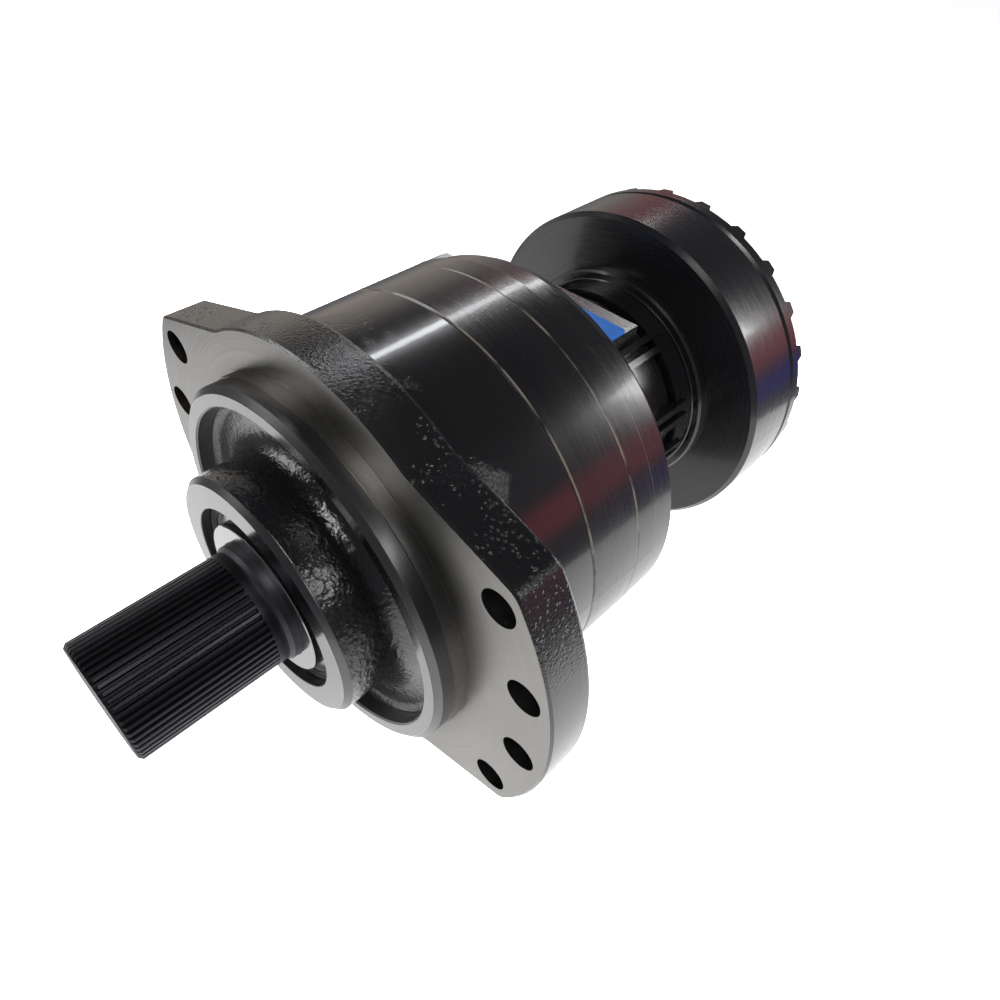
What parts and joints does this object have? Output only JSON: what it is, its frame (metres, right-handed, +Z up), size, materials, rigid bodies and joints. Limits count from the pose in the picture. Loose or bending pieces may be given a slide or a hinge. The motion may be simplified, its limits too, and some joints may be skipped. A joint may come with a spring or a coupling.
{
  "type": "hydraulic final drive motor",
  "caption": "Hydraulic wheel or track drive motor with two-eared flange, splined output shaft, stepped round housings and a disc-brake drum with a lugged cover on a ribbed neck.",
  "frame": {"origin": "on the shaft axis in the front face of the mounting flange, where the pilot begins", "axes": "-Y along the shaft towards the output spline, +Y towards the brake, X along the two flange ears, +Z up with the port pad on top"},
  "size_m": [0.278, 0.3746, 0.224],
  "materials": {
    "black_paint": "gloss black paint over cast iron, machined faces left bare",
    "dark_steel": "oil-blackened steel",
    "machined_steel": "turned steel, satin",
    "bearing_steel": "ground and polished steel",
    "cast_iron": "machined cast iron",
    "friction_lining": "sintered friction lining",
    "seal_rubber": "black nitrile rubber",
    "blue_plastic": "blue moulded plastic"
  },
  "bodies": {
    "housing": {"front_housing": "black_paint", "shaft_seal": "seal_rubber", "front_bearing_cup": "bearing_steel", "rear_bearing_cup": "bearing_steel", "front_case_o_ring": "seal_rubber", "cam_ring": "black_paint", "rear_case_o_ring": "seal_rubber", "distributor_valve": "cast_iron", "distributor_o_rings": "seal_rubber", "rear_housing": "black_paint", "housing_bolts": "dark_steel", "port_cover": "blue_plastic", "drain_plug": "dark_steel", "brake_housing": "black_paint", "brake_housing_screws": "dark_steel", "brake_cover": "black_paint", "cover_screws": "dark_steel", "release_plug": "dark_steel", "cover_o_ring": "seal_rubber", "brake_plate_1": "machined_steel", "brake_plate_2": "machined_steel", "brake_plate_3": "machined_steel", "brake_plate_4": "machined_steel"},
    "shaft": {"output_shaft": "dark_steel", "seal_wear_sleeve": "machined_steel", "front_bearing_cone": "bearing_steel", "rear_bearing_cone": "bearing_steel", "bearing_spacer": "machined_steel", "bearing_lock_nut": "dark_steel", "cylinder_block": "cast_iron", "brake_shaft": "machined_steel", "friction_disc_1": "friction_lining", "friction_disc_2": "friction_lining", "friction_disc_3": "friction_lining"},
    "front_rollers": {"front_bearing_rollers": "bearing_steel"},
    "rear_rollers": {"rear_bearing_rollers": "bearing_steel"},
    "piston_unit_01": {"piston_01": "machined_steel", "cam_roller_01": "bearing_steel"},
    "piston_unit_02": {"piston_02": "machined_steel", "cam_roller_02": "bearing_steel"},
    "piston_unit_03": {"piston_03": "machined_steel", "cam_roller_03": "bearing_steel"},
    "piston_unit_04": {"piston_04": "machined_steel", "cam_roller_04": "bearing_steel"},
    "piston_unit_05": {"piston_05": "machined_steel", "cam_roller_05": "bearing_steel"},
    "piston_unit_06": {"piston_06": "machined_steel", "cam_roller_06": "bearing_steel"},
    "piston_unit_07": {"piston_07": "machined_steel", "cam_roller_07": "bearing_steel"},
    "piston_unit_08": {"piston_08": "machined_steel", "cam_roller_08": "bearing_steel"},
    "piston_unit_09": {"piston_09": "machined_steel", "cam_roller_09": "bearing_steel"},
    "piston_unit_10": {"piston_10": "machined_steel", "cam_roller_10": "bearing_steel"},
    "brake_actuator": {"brake_piston": "machined_steel", "piston_ring": "seal_rubber", "brake_disc_spring": "machined_steel"}
  },
  "joints": [
    {"name": "shaft_spin", "type": "hinge", "parent": "housing", "child": "shaft", "pos_m": [0, 0, 0], "axis": [0, 1, 0], "continuous": true},
    {"name": "front_roller_orbit", "type": "hinge", "parent": "housing", "child": "front_rollers", "pos_m": [0, -0.0155, 0], "axis": [0, 1, 0], "continuous": true},
    {"name": "rear_roller_orbit", "type": "hinge", "parent": "housing", "child": "rear_rollers", "pos_m": [0, 0.044, 0], "axis": [0, 1, 0], "continuous": true},
    {"name": "piston_01_stroke", "type": "slide", "parent": "shaft", "child": "piston_unit_01", "axis": [1, 0, 0], "range_m": [0, 0.00944]},
    {"name": "piston_02_stroke", "type": "slide", "parent": "shaft", "child": "piston_unit_02", "axis": [0.809, 0, 0.5878], "range_m": [0, 0.00604]},
    {"name": "piston_03_stroke", "type": "slide", "parent": "shaft", "child": "piston_unit_03", "axis": [0.309, 0, 0.9511], "range_m": [0, 0.00202]},
    {"name": "piston_04_stroke", "type": "slide", "parent": "shaft", "child": "piston_unit_04", "axis": [-0.309, 0, 0.9511], "range_m": [0, 0.00202]},
    {"name": "piston_05_stroke", "type": "slide", "parent": "shaft", "child": "piston_unit_05", "axis": [-0.809, 0, 0.5878], "range_m": [0, 0.00604]},
    {"name": "piston_06_stroke", "type": "slide", "parent": "shaft", "child": "piston_unit_06", "axis": [-1, 0, 0], "range_m": [0, 0.00946]},
    {"name": "piston_07_stroke", "type": "slide", "parent": "shaft", "child": "piston_unit_07", "axis": [-0.809, 0, -0.5878], "range_m": [0, 0.00604]},
    {"name": "piston_08_stroke", "type": "slide", "parent": "shaft", "child": "piston_unit_08", "axis": [-0.309, 0, -0.9511], "range_m": [0, 0.00202]},
    {"name": "piston_09_stroke", "type": "slide", "parent": "shaft", "child": "piston_unit_09", "axis": [0.309, 0, -0.9511], "range_m": [0, 0.00202]},
    {"name": "piston_10_stroke", "type": "slide", "parent": "shaft", "child": "piston_unit_10", "axis": [0.809, 0, -0.5878], "range_m": [0, 0.00604]},
    {"name": "brake_release", "type": "slide", "parent": "housing", "child": "brake_actuator", "axis": [0, 1, 0], "range_m": [0, 0.002]}
  ],
  "couplings": [
    {"joint": "front_roller_orbit", "follows": "shaft_spin", "ratio": 0.4485},
    {"joint": "rear_roller_orbit", "follows": "shaft_spin", "ratio": 0.4284},
    {"joint": "piston_02_stroke", "follows": "piston_01_stroke", "ratio": 0.63729},
    {"joint": "piston_03_stroke", "follows": "piston_01_stroke", "ratio": 0.21176},
    {"joint": "piston_04_stroke", "follows": "piston_01_stroke", "ratio": 0.21176},
    {"joint": "piston_05_stroke", "follows": "piston_01_stroke", "ratio": 0.63729},
    {"joint": "piston_06_stroke", "follows": "piston_01_stroke", "ratio": 1},
    {"joint": "piston_07_stroke", "follows": "piston_01_stroke", "ratio": 0.63729},
    {"joint": "piston_08_stroke", "follows": "piston_01_stroke", "ratio": 0.21176},
    {"joint": "piston_09_stroke", "follows": "piston_01_stroke", "ratio": 0.21176},
    {"joint": "piston_10_stroke", "follows": "piston_01_stroke", "ratio": 0.63729}
  ]
}
